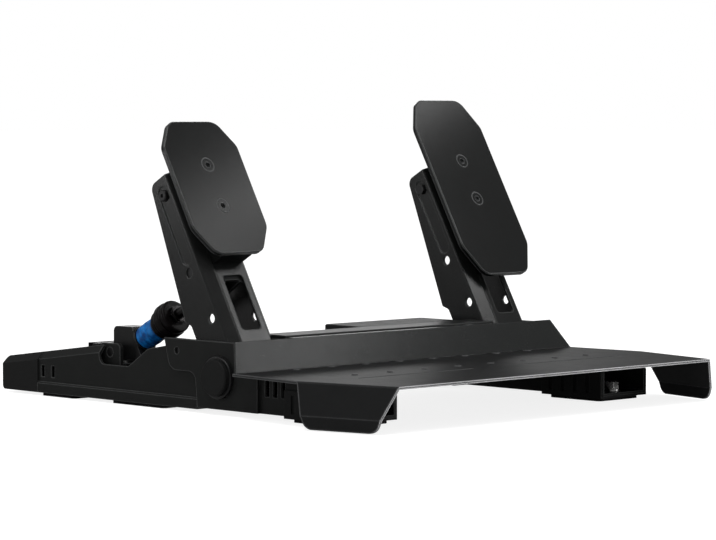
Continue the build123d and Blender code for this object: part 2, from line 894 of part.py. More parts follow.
def bushes(side):
    """Plain bushes in the two rail walls."""
    inner = rail_width / 2 - rail_gauge
    outboard = pivot_tube(inner, collar_face(), bush_radius, axle_radius + axle_fit)
    inboard = pivot_tube(-inner_ring_face(), -inner, bush_radius, axle_radius + axle_fit)
    return module(as_group([outboard, inboard]), side)


def pivot_collar(side):
    """Round boss on the cheek, holding the outboard bush."""
    face = rail_width / 2 + cheek_gauge
    ring = cross_rod(pivot_reach, pivot_height, face, face + collar_thickness, collar_radius)
    ring = fillet(ring.edges().group_by(Axis.X)[-1], pivot_cap_edge / 2)
    ring -= cross_rod(pivot_reach, pivot_height, 0, face + collar_thickness + overrun, bush_radius)
    return module(ring, side)


def inner_ring(side):
    half = rail_width / 2
    return module(pivot_tube(-inner_ring_face(), -half, inner_ring_radius, bush_radius), side)


def pivot_cap(side):
    seat = collar_face()
    cap = cross_rod(pivot_reach, pivot_height, seat, seat + pivot_cap_thickness, pivot_cap_radius)
    return module(fillet(cap.edges().group_by(Axis.X)[-1], pivot_cap_edge), side)


def inner_cap(side):
    """Closes the inboard bush where there is no sensor."""
    seat = inner_ring_face()
    cap = cross_rod(pivot_reach, pivot_height, -seat - pivot_cap_thickness, -seat, inner_ring_radius)
    cap = fillet(cap.edges().group_by(Axis.X)[0], pivot_cap_edge)
    cap -= cross_rod(pivot_reach, pivot_height, -seat - slip, -seat + overrun, axle_radius)
    return module(cap, side)


def stop_pins(side):
    """Plain pins across the rail: one holds the arm at rest, the other ends its travel."""
    half = rail_width / 2
    found = []
    for (reach, height), x1 in ((rest_stop_place(), half), (end_stop_place(), half + stop_pin_recess)):
        found.append(cross_rod(reach, height, -half, x1, stop_pin_radius))
    return module(as_group(found), side)


def stop_sleeves(side):
    inner = rail_width / 2 - rail_gauge
    found = []
    for reach, height in (rest_stop_place(), end_stop_place()):
        tube = cross_rod(reach, height, -inner, inner, stop_sleeve_radius)
        found.append(tube - cross_rod(reach, height, -inner - overrun, inner + overrun, stop_pin_radius))
    return module(as_group(found), side)


# Pedals, drawn upright: Z runs up the arm, -Y faces the driver

def lean(shape, side):
    """Sets an upright pedal part on its pivot, leaning back."""
    return Pos(side * rail_spacing / 2, at(pivot_reach), pivot_height) * Rot(-arm_lean, 0, 0) * shape


def across(forward, along, x0, x1, radius):
    """A round bar across the arm."""
    return Pos((x0 + x1) / 2, -forward, along) * Rot(0, 90, 0) * Cylinder(radius, x1 - x0)


def face_axis(depth, along):
    """A frame on the pedal's centre line, whose Z points at the driver."""
    return Pos(0, -depth, along) * Rot(90, 0, 0)


def arm_section(half_width, half_web, web_front, ridge_front, back):
    return [(-half_web, -web_front), (half_web, -web_front), (half_width, -ridge_front),
            (half_width, back), (-half_width, back), (-half_width, -ridge_front)]


def arm_side_outline():
    """Side view of the arm: web, slanted rear edge, notch and boss."""
    taper = math.tan(math.radians(arm_taper))
    knee = arm_notch_height + arm_notch_rise
    return [(-arm_web_front, arm_web_bottom), (-arm_web_front, arm_top), (arm_top_depth, arm_top),
            (arm_top_depth + (arm_top - knee) * taper, knee), (arm_ridge_front, arm_notch_height),
            (arm_ridge_front, 0), (-arm_ridge_front, 0), (-arm_ridge_front, arm_web_bottom)]


def arm(side):
    """The folded channel, its edges chamfered either side of the web."""
    half = arm_width / 2
    half_web = arm_web_width / 2
    back = arm_web_front * 2
    bend = (half - half_web) / (arm_web_front - arm_ridge_front)
    slant = math.hypot(1, bend)
    tube = flat_prism(arm_section(half, half_web, arm_web_front, arm_ridge_front, back),
                      -arm_ridge_front, arm_top)
    bends = [edge for edge in tube.edges().filter_by(Axis.Z) if edge.center().Y < 0]
    tube = fillet(bends, arm_bend_radius)
    hollow = arm_section(half - arm_gauge, half_web - arm_gauge * (slant - bend), arm_web_front - arm_gauge,
                         arm_ridge_front - arm_gauge * (slant - 1) / bend, back + overrun)
    tube -= flat_prism(hollow, -arm_ridge_front - overrun, arm_top + overrun)
    outline = side_prism(arm_side_outline(), -half, half,
                         (0, 0, arm_top_radius, arm_notch_rise / 2, arm_notch_rise / 2, 0, 0, 0))
    shape = tube & (outline + across(0, 0, -half, half, arm_ridge_front))
    window_height = arm_window_top - arm_window_bottom
    window = RectangleRounded(arm_window_width, window_height, arm_window_radius)
    shape -= face_axis(arm_web_front - arm_gauge - overrun, arm_window_bottom + window_height / 2) * extrude(
        window, arm_gauge + overrun * 2)
    pocket_height = arm_pocket_top - arm_pocket_bottom
    for edge in (-1, 1):
        pocket = Pos(edge * half, -arm_pocket_front, arm_pocket_bottom + pocket_height / 2) * Rot(
            0, 90, 0) * extrude(SlotOverall(pocket_height, arm_pocket_width), arm_pocket_depth, both=True)
        shape -= pocket
    for (forward, along), radius in ((arm_low_hole, arm_pin_hole_radius),
                                     (arm_mid_hole, arm_pin_hole_radius),
                                     (arm_high_hole, screw_shank_radius), ((0, 0), sleeve_radius)):
        shape -= across(forward, along, -half - overrun, half + overrun, radius)
    for along in face_screw_heights():
        shape -= face_axis(arm_web_front - arm_gauge - overrun, along) * bar(
            face_screw_shank_radius, 0, arm_gauge + overrun * 2)
    return lean(shape, side)


def face_screw_heights():
    return (face_screw_height - face_screw_pitch / 2, face_screw_height + face_screw_pitch / 2)


def arm_bolt(side):
    """A button-head bolt across the arm's top, with its nut."""
    half = arm_width / 2 - arm_pocket_depth
    bolt = Pos(0, 0, half) * button_screw(half * 2)
    bolt += Pos(0, 0, -half - screw_head_height) * extrude(
        RegularPolygon(screw_head_radius, 6), screw_head_height)
    forward, along = arm_high_hole
    return lean(Pos(0, -forward, along) * Rot(0, side * 90, 0) * bolt, side)


def cross_pin():
    """A plain pin in the brake arm's middle holes."""
    half = arm_width / 2 - arm_gauge / 2
    forward, along = arm_mid_hole
    return lean(across(forward, along, -half, half, arm_pin_hole_radius), -1)


def spacer(side):
    half = spacer_width / 2
    front = arm_web_front + spacer_thickness
    shape = block(-half, half, -front, -arm_web_front, spacer_bottom, spacer_top)
    for along in face_screw_heights():
        shape -= face_axis(arm_web_front - overrun, along) * bar(
            face_screw_shank_radius, 0, spacer_thickness + overrun * 2)
    return lean(shape, side)


def face_outline(width, length, chamfer_length):
    half = width / 2
    inner = half - face_chamfer_width
    tip = length / 2
    shoulder = tip - chamfer_length
    return [(inner, tip), (half, shoulder), (half, -shoulder), (inner, -tip),
            (-inner, -tip), (-half, -shoulder), (-half, shoulder), (-inner, tip)]


def face_front():
    return arm_web_front + spacer_thickness + face_thickness


def countersink():
    """The cone of a countersunk head, below the surface it sits in."""
    sink = face_screw_head_radius - face_screw_shank_radius
    return Pos(0, 0, -sink / 2) * Cone(face_screw_shank_radius, face_screw_head_radius, sink)


def face_plate(side, width, length, centre, chamfer_length):
    """An octagonal plate with rounded corners, countersunk for its screws."""
    outline = face_outline(width, length, chamfer_length)
    face = corner_face(outline, [face_corner_radius] * len(outline))
    plate = face_axis(face_front() - face_thickness, centre) * extrude(face, face_thickness)
    plate = chamfer(plate.edges().group_by(Axis.Y)[0], face_edge)
    plate = chamfer(plate.edges().group_by(Axis.Y)[-1], face_edge / 2)
    for along in face_screw_heights():
        plate -= face_axis(face_front(), along) * (
            bar(face_screw_shank_radius, -face_thickness - overrun, 0) + countersink())
    return lean(plate, side)


def face_screws(side):
    """Countersunk screws through the face plate and spacer into the arm's web."""
    length = spacer_thickness + face_thickness + arm_gauge
    found = []
    for along in face_screw_heights():
        screw = countersink() + bar(face_screw_shank_radius, -length, -face_screw_shank_radius / 2)
        screw -= Pos(0, 0, -face_hex_depth) * extrude(RegularPolygon(face_hex_radius, 6), face_thickness)
        found.append(lean(face_axis(face_front(), along) * screw, side))
    return as_group(found)


# Brake strut, drawn along Z from its trunnion, then laid in place

def strut_run():
    return trunnion_reach - strut_pin_reach, strut_pin_height - trunnion_height


def strut_length():
    return math.hypot(*strut_run())


def strut_place(shape):
    """Local Z points from the trunnion up towards the arm."""
    run, rise = strut_run()
    tilt = math.degrees(math.atan2(run, rise))
    return Pos(-rail_spacing / 2, at(trunnion_reach), trunnion_height) * Rot(tilt, 0, 0) * shape


def strut_ring(outer_radius, bore_radius, start, length, edge=0):
    ring = bar(outer_radius, start, start + length)
    if edge:
        ring = fillet(ring.edges().filter_by(GeomType.CIRCLE), edge)
    return strut_place(ring - bar(bore_radius, start - overrun, start + length + overrun))


def stack_start():
    """Where the rings begin, ahead of the front washer."""
    return barrel_front + washer_thickness * 2 + elastomer_length


def strut_barrel():
    """Upright rear block on two trunnions, with its front square to the strut and a bore for the rod."""
    x = -rail_spacing / 2
    rear = at(trunnion_reach + barrel_rear)
    front = rear - barrel_depth
    low = trunnion_height - barrel_drop
    high = trunnion_height + barrel_rise
    shape = side_prism([(front, low), (rear, low), (rear, high), (front, high)],
                       x - barrel_width / 2, x + barrel_width / 2, (0, barrel_edge, barrel_corner, 0))
    shape -= strut_place(bar(barrel_depth, barrel_front, barrel_front + barrel_depth))
    half = ear_gap / 2 + ear_gauge
    shape += cross_rod(trunnion_reach, trunnion_height, x - half, x + half, trunnion_radius)
    return shape - strut_place(bar(rod_radius + rod_fit, -barrel_depth, barrel_front + overrun))


def rear_washer():
    return strut_ring(washer_radius, rod_radius + rod_fit, barrel_front, washer_thickness)


def elastomer():
    return strut_ring(elastomer_radius, rod_radius + rod_fit, barrel_front + washer_thickness,
                      elastomer_length, elastomer_edge)


def front_washer():
    return strut_ring(washer_radius, rod_radius, stack_start() - washer_thickness, washer_thickness)


def strut_rings():
    """Rubber rings on the rod, the rear one narrower than the others."""
    found = []
    start = stack_start()
    for radius, length in zip(ring_radii, ring_lengths):
        found.append(strut_ring(radius, rod_radius, start, length, ring_edge))
        start += length
    return as_group(found)


def strut_rod():
    """Rod with a jam nut ahead of the rings and an eye on the pin inside the arm."""
    end = strut_length()
    seat = stack_start() + sum(ring_lengths)
    rod = bar(rod_radius, rod_start, end - strut_pin_radius)
    rod += Pos(0, 0, seat) * extrude(RegularPolygon(jam_nut_radius, 6), jam_nut_thickness)
    rod += Pos(0, 0, end) * Rot(0, 90, 0) * Cylinder(strut_eye_radius, strut_eye_width)
    rod -= Pos(0, 0, end) * Rot(0, 90, 0) * Cylinder(strut_pin_radius + strut_pin_play, strut_eye_width * 2)
    return strut_place(rod)


def rod_clip():
    """Retaining ring ahead of the jam nut."""
    start = stack_start() + sum(ring_lengths) + jam_nut_thickness
    return strut_ring(clip_radius, rod_radius, start, clip_thickness)


def pin_in_arm():
    """The strut pin's place in the arm's upright frame: forward and along."""
    angle = math.radians(arm_lean)
    run = strut_pin_reach - pivot_reach
    rise = strut_pin_height - pivot_height
    return rise * math.sin(angle) - run * math.cos(angle), run * math.sin(angle) + rise * math.cos(angle)


def strut_lug():
    """A bracket welded behind the web, with an ear each side of the rod's eye."""
    forward, along = pin_in_arm()
    web_back = -arm_web_front + arm_gauge
    half = lug_gap / 2
    nose = -forward + lug_nose
    outline = [(web_back, along + lug_top), (web_back, along - lug_bottom), (nose, along - lug_nose),
               (nose, along + lug_nose)]
    shape = block(-half - lug_gauge, half + lug_gauge, web_back, web_back + lug_gauge,
                  arm_window_top - lug_gauge, along + lug_top)
    for x in (-half - lug_gauge, half):
        shape += side_prism(outline, x, x + lug_gauge, (0, 0, lug_nose_radius, lug_nose_radius))
    outside = half + lug_gauge + overrun
    shape -= across(forward, along, -outside, outside, strut_pin_radius)
    return lean(shape, -1)


def strut_pin():
    """The pin through the lug, with a flat head at each end."""
    forward, along = pin_in_arm()
    half = lug_gap / 2 + lug_gauge
    pin = across(forward, along, -half - clip_thickness, half + clip_thickness, strut_pin_radius)
    for x in (-half - clip_thickness, half):
        pin += across(forward, along, x, x + clip_thickness, clip_radius)
    return lean(pin, -1)


# Load cell under the trunnion

def brake_block(half_width, reach0, reach1, z0, z1):
    x = -rail_spacing / 2
    return block(x - half_width, x + half_width, at(reach0), at(reach1), z0, z1)


def clamp_bolt_places():
    """Two bolts, side by side."""
    x = -rail_spacing / 2
    y = at(clamp_front_reach + clamp_bolt_inset)
    return [(x - clamp_bolt_pitch / 2, y), (x + clamp_bolt_pitch / 2, y)]


def ear_screw_places():
    x = -rail_spacing / 2
    y = at(trunnion_reach - ear_width / 2 + ear_screw_inset)
    return [(x - ear_screw_pitch / 2, y), (x + ear_screw_pitch / 2, y)]


def ear_screw(x, y):
    """A countersunk screw, flush with the foot of the ears."""
    sink = ear_screw_head_radius - ear_screw_radius
    top = cell_top + ear_foot_thickness
    shank = upright_rod(x, y, top - ear_screw_length, top - sink, ear_screw_radius)
    return shank + Pos(x, y, top - sink / 2) * Cone(ear_screw_radius, ear_screw_head_radius, sink)


def load_cell():
    """A bending bar with its double-hole waist."""
    x = -rail_spacing / 2
    shape = brake_block(cell_width / 2, cell_front_reach, cell_rear_reach, cell_bottom, cell_top)
    middle = (cell_front_reach + clamp_front_reach) / 2
    height = (cell_bottom + cell_top) / 2
    for reach in (middle - cell_hole_pitch / 2, middle + cell_hole_pitch / 2):
        shape -= cross_rod(reach, height, x - cell_width, x + cell_width, cell_hole_radius)
    shape -= brake_block(cell_width, middle - cell_hole_pitch / 2, middle + cell_hole_pitch / 2,
                         height - cell_waist / 2, height + cell_waist / 2)
    for place in clamp_bolt_places():
        shape -= upright_rod(*place, 0, cell_top + overrun, clamp_bolt_radius)
    for place in ear_screw_places():
        shape -= ear_screw(*place)
    return shape


def cell_seat():
    """Spacer between the rail's floor and the load cell's fixed end."""
    shape = brake_block(cell_width / 2, clamp_front_reach, cell_rear_reach,
                        rail_bottom + rail_gauge, cell_bottom)
    for place in clamp_bolt_places():
        shape -= upright_rod(*place, 0, cell_bottom + overrun, clamp_bolt_radius)
    return shape


def cell_clamp():
    """Upright clamp on the load cell's fixed end, with a deep slot."""
    shape = brake_block(clamp_width / 2, clamp_front_reach, clamp_rear_reach, cell_top, clamp_top)
    shape = chamfer(shape.edges().filter_by(Axis.Z), clamp_edge)
    slot_rear = clamp_rear_reach - clamp_slot_inset
    shape -= brake_block(clamp_width, slot_rear - clamp_slot_width, slot_rear,
                         clamp_top - clamp_slot_depth, clamp_top + overrun)
    for place in clamp_bolt_places():
        shape -= clamp_bolt_body(*place)
    return shape


def clamp_bolt_body(x, y):
    seat = clamp_top - clamp_bolt_head_height
    return upright_rod(x, y, rail_bottom + rail_gauge, seat, clamp_bolt_radius) + upright_rod(
        x, y, seat, clamp_top, clamp_bolt_head_radius)


def clamp_bolts():
    found = []
    for x, y in clamp_bolt_places():
        socket = Pos(x, y, clamp_top - clamp_bolt_hex_depth) * extrude(
            RegularPolygon(clamp_bolt_hex_radius, 6), clamp_bolt_head_height)
        found.append(clamp_bolt_body(x, y) - socket)
    return as_group(found)


def trunnion_ears():
    """Fork on the load cell's free end, holding the rear block's trunnions."""
    x = -rail_spacing / 2
    half = ear_gap / 2
    front = trunnion_reach - ear_width / 2
    rear = trunnion_reach + ear_width / 2
    shape = brake_block(half + ear_gauge, front, rear, cell_top, cell_top + ear_foot_thickness)
    outline = [(at(front), cell_top), (at(rear), cell_top), (at(rear), ear_top), (at(front), ear_top)]
    for x0 in (x - half - ear_gauge, x + half):
        shape += side_prism(outline, x0, x0 + ear_gauge, (0, 0, ear_corner, ear_corner))
    shape -= cross_rod(trunnion_reach, trunnion_height, x - rail_width, x + rail_width,
                       trunnion_radius + trunnion_fit)
    for place in ear_screw_places():
        shape -= ear_screw(*place)
    return shape


# Throttle return spring and its sensor

def biarc(start, start_way, end, end_way):
    """Two arcs that leave start along one direction and reach end along another."""
    chord = end - start
    total = start_way + end_way
    turn = 2 * (1 - start_way.dot(end_way))
    lean_in = chord.dot(total)
    reach = (math.sqrt(lean_in ** 2 + turn * chord.dot(chord)) - lean_in) / turn
    first_knee = start + start_way * reach
    last_knee = end - end_way * reach
    middle = (first_knee + last_knee) * 0.5
    return [TangentArc(start, middle, tangent=start_way),
            TangentArc(middle, end, tangent=(last_knee - first_knee).normalized())]


def coil_ends():
    """Angles about the pivot, from the arm's leg to the floor's leg."""
    start = half_turn - arm_lean + coil_arm_angle
    return start, half_turn + coil_floor_angle + half_turn * 2 * coil_turns


def coil_point(angle):
    """A place on the helix and its direction, at this angle about the pivot."""
    start, end = coil_ends()
    turned = (angle - start) / (half_turn * 2)
    width = coil_pitch * (end - start) / (half_turn * 2)
    radians = math.radians(angle)
    x = rail_spacing / 2 - width / 2 + coil_pitch * turned
    place = Vector(x, at(pivot_reach) + coil_radius * math.cos(radians),
                   pivot_height + coil_radius * math.sin(radians))
    way = Vector(coil_pitch / (2 * math.pi), -coil_radius * math.sin(radians),
                 coil_radius * math.cos(radians))
    return place, way.normalized()


def coil_path():
    start, end = coil_ends()
    steps = round((end - start) / (half_turn / 2))
    place, way = coil_point(start)
    edges = [Line(place - way * coil_arm_leg, place)]
    for step in range(steps):
        next_place, next_way = coil_point(start + (end - start) * (step + 1) / steps)
        edges += biarc(place, way, next_place, next_way)
        place, way = next_place, next_way
    edges.append(Line(place, place + way * coil_floor_leg))
    return Wire(edges)


def coil_gap():
    """Least gap between one turn's surface and the next, measured on points."""
    start, end = coil_ends()
    places = [coil_point(start + (end - start) * index / (coil_samples * coil_turns))[0]
              for index in range(coil_samples * coil_turns + 1)]
    nearest = min((places[i] - places[j]).length for i in range(len(places))
                  for j in range(i + coil_samples // 2, len(places)))
    return nearest - coil_wire


def throttle_spring():
    """A torsion spring round the pivot sleeve: one leg behind the web, one on the rail's floor."""
    path = coil_path()
    section = Plane(origin=path @ 0, z_dir=path % 0) * Circle(coil_wire / 2)
    return sweep(section, path=path)


def sensor_magnet():
    seat = inner_ring_face()
    magnet = cross_rod(pivot_reach, pivot_height, -seat - magnet_thickness, -seat, magnet_radius)
    return module(magnet, 1)


def sensor_box(x0, x1, inset):
    y = sensor_half_depth - inset
    z = sensor_half_height - inset
    return block(x0, x1, at(pivot_reach) - y, at(pivot_reach) + y, pivot_height - z, pivot_height + z)


def sensor_board_seat():
    return inner_ring_face() + magnet_thickness + sensor_gap


def sensor_housing():
    """Housing over the axle's end, with a bore for the magnet and a pocket for the board."""
    seat = inner_ring_face()
    shape = sensor_box(-seat - sensor_thickness, -seat, 0)
    shape = fillet(shape.edges().filter_by(Axis.X), sensor_corner)
    shape -= cross_rod(pivot_reach, pivot_height, -sensor_board_seat(), -seat + overrun, sensor_bore)
    shape -= sensor_box(-sensor_board_seat() - board_gauge - sensor_gap, -sensor_board_seat(), sensor_wall)
    return module(shape, 1)


def sensor_board():
    seat = sensor_board_seat()
    return module(sensor_box(-seat - board_gauge, -seat, sensor_wall), 1)


# Cross beam and controller box

def cross_beam():
    """A channel open downwards between the rails, closed at each end by a bolted tab."""
    half = rail_spacing / 2 - rail_width / 2
    front = at(beam_front_reach)
    rear = at(beam_rear_reach)
    shape = block(-half, half, front, rear, beam_bottom, beam_top)
    shape -= block(-half + beam_gauge, half - beam_gauge, front + beam_gauge, rear - beam_gauge,
                   beam_bottom - overrun, beam_top - beam_gauge)
    shape -= cross_rod(beam_bolt_reach(), beam_bolt_height(), -half - overrun, half + overrun, stud_radius)
    for x in box_screw_places():
        shape -= Pos(x, rear, beam_bolt_height()) * Rot(90, 0, 0) * Cylinder(
            screw_shank_radius, beam_gauge * 3)
    return shape


def beam_stud(side):
    """A stud pressed flush into the rail's inner wall, with its nut inside the beam."""
    inner = rail_width / 2 - rail_gauge
    seat = rail_width / 2 + beam_gauge
    stud = cross_rod(beam_bolt_reach(), beam_bolt_height(), -inner - stud_length - beam_gauge, -inner,
                     stud_radius)
    nut = Pos(-seat, at(beam_bolt_reach()), beam_bolt_height()) * Rot(0, -90, 0) * extrude(
        RegularPolygon(nut_radius, 6), nut_height)
    return module(stud + nut, side)


def box_middle():
    return (box_left + box_right) / 2


def box_screw_places():
    return (box_middle() - box_screw_pitch / 2, box_middle() + box_screw_pitch / 2)


def box_bosses():
    """Board bosses in the box's four corners."""
    inset = box_wall + box_boss_radius
    return [(x, y) for x in (box_left + inset, box_right - inset)
            for y in (at(beam_rear_reach) + inset, at(box_rear_reach) - inset)]


def box_socket_height():
    """Lower edge of the sockets, which stand on the board."""
    return box_bottom + box_wall + box_boss_height + board_gauge


def socket_body():
    width = socket_pitch * (socket_count - 1) + socket_mouth_width + socket_wall * 2
    low = box_socket_height()
    rear = at(box_rear_reach) + socket_proud
    return block(box_middle() - width / 2, box_middle() + width / 2, rear - socket_depth - socket_wall, rear,
                 low, low + socket_mouth_height + socket_wall * 2)


def socket_block():
    """A row of sockets facing the rear."""
    shape = socket_body()
    rear = at(box_rear_reach) + socket_proud
    low = box_socket_height() + socket_wall
    for index in range(socket_count):
        x = box_middle() + (index - (socket_count - 1) / 2) * socket_pitch
        shape -= block(x - socket_mouth_width / 2, x + socket_mouth_width / 2, rear - socket_depth,
                       rear + overrun, low, low + socket_mouth_height)
    return shape


def controller_box():
    front = at(beam_rear_reach)
    rear = at(box_rear_reach)
    rim = box_top - box_lid_gauge
    shape = block(box_left, box_right, front, rear, box_bottom, rim)
    shape = fillet(shape.edges().filter_by(Axis.Z), box_corner)
    shape -= block(box_left + box_wall, box_right - box_wall, front + box_wall, rear - box_wall,
                   box_bottom + box_wall, rim + overrun)
    for x, y in box_bosses():
        shape += upright_rod(x, y, box_bottom + box_wall / 2, box_bottom + box_wall + box_boss_height,
                             box_boss_radius)
    shape -= socket_body()
    for x in box_screw_places():
        shape -= Pos(x, front, beam_bolt_height()) * Rot(90, 0, 0) * Cylinder(
            screw_shank_radius, box_wall * 3)
    return shape


def controller_lid():
    front = at(beam_rear_reach)
    rear = at(box_rear_reach)
    rim = box_top - box_lid_gauge
    shape = block(box_left, box_right, front, rear, rim, box_top)
    shape = fillet(shape.edges().filter_by(Axis.Z), box_corner)
    shape = chamfer(shape.edges().group_by(Axis.Z)[-1], box_lid_gauge / 3)
    inset = box_wall + slip
    lip = block(box_left + inset, box_right - inset, front + inset, rear - inset, rim - box_lid_lip, rim)
    lip -= block(box_left + inset + box_wall, box_right - inset - box_wall, front + inset + box_wall,
                 rear - inset - box_wall, rim - box_lid_lip - overrun, rim)
    return shape + lip


def controller_board():
    inset = box_wall + slip
    seat = box_bottom + box_wall + box_boss_height
    return block(box_left + inset, box_right - inset, at(beam_rear_reach) + inset,
                 at(box_rear_reach) - inset, seat, seat + board_gauge)


# Build and write every piece

def both(maker):
    """The same piece on both rails, as one node."""
    return as_group([maker(-1), maker(1)])


write("heel_plate", heel_plate())
write("plate_studs", as_group([plate_studs(), foot_bolt(-1), foot_bolt(1)]))
write("front_panel", front_panel())
write("housing_screws", housing_screws())
for side, name in ((-1, "brake"), (1, "throttle")):
    write(name + "_rail", rail(side))
    write(name + "_tray", tray(side))
    write(name + "_cheek", cheek(side))
    write(name + "_arm", arm(side))
    write(name + "_axle", axle(side))
    write(name + "_pivot_sleeve", pivot_sleeve(side))
    write(name + "_arm_bolt", arm_bolt(side))
    write(name + "_spacer", spacer(side))
    write(name + "_face_screws", face_screws(side))
write("rear_covers", both(rear_cover))
write("end_caps", both(end_cap))
write("front_feet", both(front_foot))
write("rubber_pads", both(pads))
write("pivot_collars", both(pivot_collar))
write("inner_bearing_rings", both(inner_ring))
write("pivot_caps", as_group([pivot_cap(-1), pivot_cap(1), inner_cap(-1)]))
write("pivot_bushes", both(bushes))
write("stop_pins", both(stop_pins))
write("stop_sleeves", both(stop_sleeves))
write("brake_face_plate", face_plate(-1, brake_face_width, brake_face_length, brake_face_centre,
                                     brake_face_chamfer))
write("throttle_face_plate", face_plate(1, throttle_face_width, throttle_face_length, throttle_face_centre,
                                        throttle_face_chamfer))
write("brake_cross_pin", cross_pin())
write("strut_barrel", strut_barrel())
write("strut_rear_washer", rear_washer())
write("brake_elastomer", elastomer())
write("strut_front_washer", front_washer())
write("strut_rings", strut_rings())
write("strut_rod", strut_rod())
write("rod_clip", rod_clip())
write("strut_lug", strut_lug())
write("strut_pin", strut_pin())
write("load_cell", load_cell())
write("cell_seat", cell_seat())
write("cell_clamp", cell_clamp())
write("clamp_bolts", clamp_bolts())
write("trunnion_ears", trunnion_ears())
write("ear_screws", as_group([ear_screw(*place) for place in ear_screw_places()]))
write("throttle_spring", throttle_spring())
write("sensor_magnet", sensor_magnet())
write("sensor_housing", sensor_housing())
write("sensor_board", sensor_board())
write("cross_beam", cross_beam())
write("beam_studs", both(beam_stud))
write("controller_box", controller_box())
write("controller_lid", controller_lid())
write("controller_board", controller_board())
write("socket_block", socket_block())
print("spring turns clear each other by", round(coil_gap(), 3), "mm")
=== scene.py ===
import json
import math

import bpy
from mathutils import Matrix, Vector


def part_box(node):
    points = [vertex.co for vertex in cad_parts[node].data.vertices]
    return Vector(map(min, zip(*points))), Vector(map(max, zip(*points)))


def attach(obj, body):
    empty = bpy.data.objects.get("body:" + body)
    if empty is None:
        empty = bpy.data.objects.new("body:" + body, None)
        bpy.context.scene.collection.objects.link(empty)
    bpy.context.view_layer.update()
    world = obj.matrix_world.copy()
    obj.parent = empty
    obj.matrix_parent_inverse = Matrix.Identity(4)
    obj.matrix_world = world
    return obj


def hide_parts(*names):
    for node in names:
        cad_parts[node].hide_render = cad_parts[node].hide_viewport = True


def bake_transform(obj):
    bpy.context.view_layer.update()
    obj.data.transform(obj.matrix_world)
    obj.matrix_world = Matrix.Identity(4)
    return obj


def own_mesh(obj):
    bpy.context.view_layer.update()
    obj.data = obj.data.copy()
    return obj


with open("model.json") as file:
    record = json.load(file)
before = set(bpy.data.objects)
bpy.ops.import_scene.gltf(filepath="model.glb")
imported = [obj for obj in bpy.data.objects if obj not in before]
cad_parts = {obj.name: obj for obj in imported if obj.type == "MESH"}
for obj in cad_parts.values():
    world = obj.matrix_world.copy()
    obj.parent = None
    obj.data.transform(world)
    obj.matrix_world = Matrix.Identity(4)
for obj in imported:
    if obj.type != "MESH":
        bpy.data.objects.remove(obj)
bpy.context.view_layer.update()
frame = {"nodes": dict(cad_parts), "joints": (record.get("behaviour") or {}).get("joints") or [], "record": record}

nodes = frame["nodes"]
mm = 0.001
white = (1, 1, 1, 1)
print("frame loaded:", len(nodes), "nodes")


# a socket in a node tree; arithmetic on it adds Math nodes
class Wire:
    def __init__(self, tree, socket=None):
        self.tree = tree
        self.socket = socket

    # settings are set first, then the values or links of the sockets
    def node(self, kind, settings=None, inputs=None, output=0):
        made = self.tree.nodes.new("ShaderNode" + kind)
        for name, value in (settings or {}).items():
            setattr(made, name, value)
        for name, value in (inputs or {}).items():
            if isinstance(value, Wire):
                self.tree.links.new(value.socket, made.inputs[name])
            else:
                made.inputs[name].default_value = value
        return Wire(self.tree, made.outputs[output] if made.outputs else None)

    def maths(self, operation, first, second=0.0, clamp=False):
        return self.node("Math", {"operation": operation, "use_clamp": clamp}, {0: first, 1: second})

    def __add__(self, other):
        return self.maths("ADD", self, other)

    def __sub__(self, other):
        return self.maths("SUBTRACT", self, other)

    def __rsub__(self, other):
        return self.maths("SUBTRACT", other, self)

    def __mul__(self, other):
        return self.maths("MULTIPLY", self, other)

    __radd__ = __add__
    __rmul__ = __mul__

    def clamped(self):
        return self.maths("ADD", self, 0.0, clamp=True)

    def larger(self, other):
        return self.maths("MAXIMUM", self, other)

    # this value is the share of the second colour
    def colours(self, first, second):
        return self.node("Mix", {"data_type": "RGBA"}, {0: self, 6: first, 7: second}, output=2)


def emptyTree(owner):
    owner.use_nodes = True
    owner.node_tree.nodes.clear()
    return Wire(owner.node_tree)


def lowest(node):
    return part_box(node)[0]


def highest(node):
    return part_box(node)[1]


def middle(node):
    return (lowest(node) + highest(node)) / 2


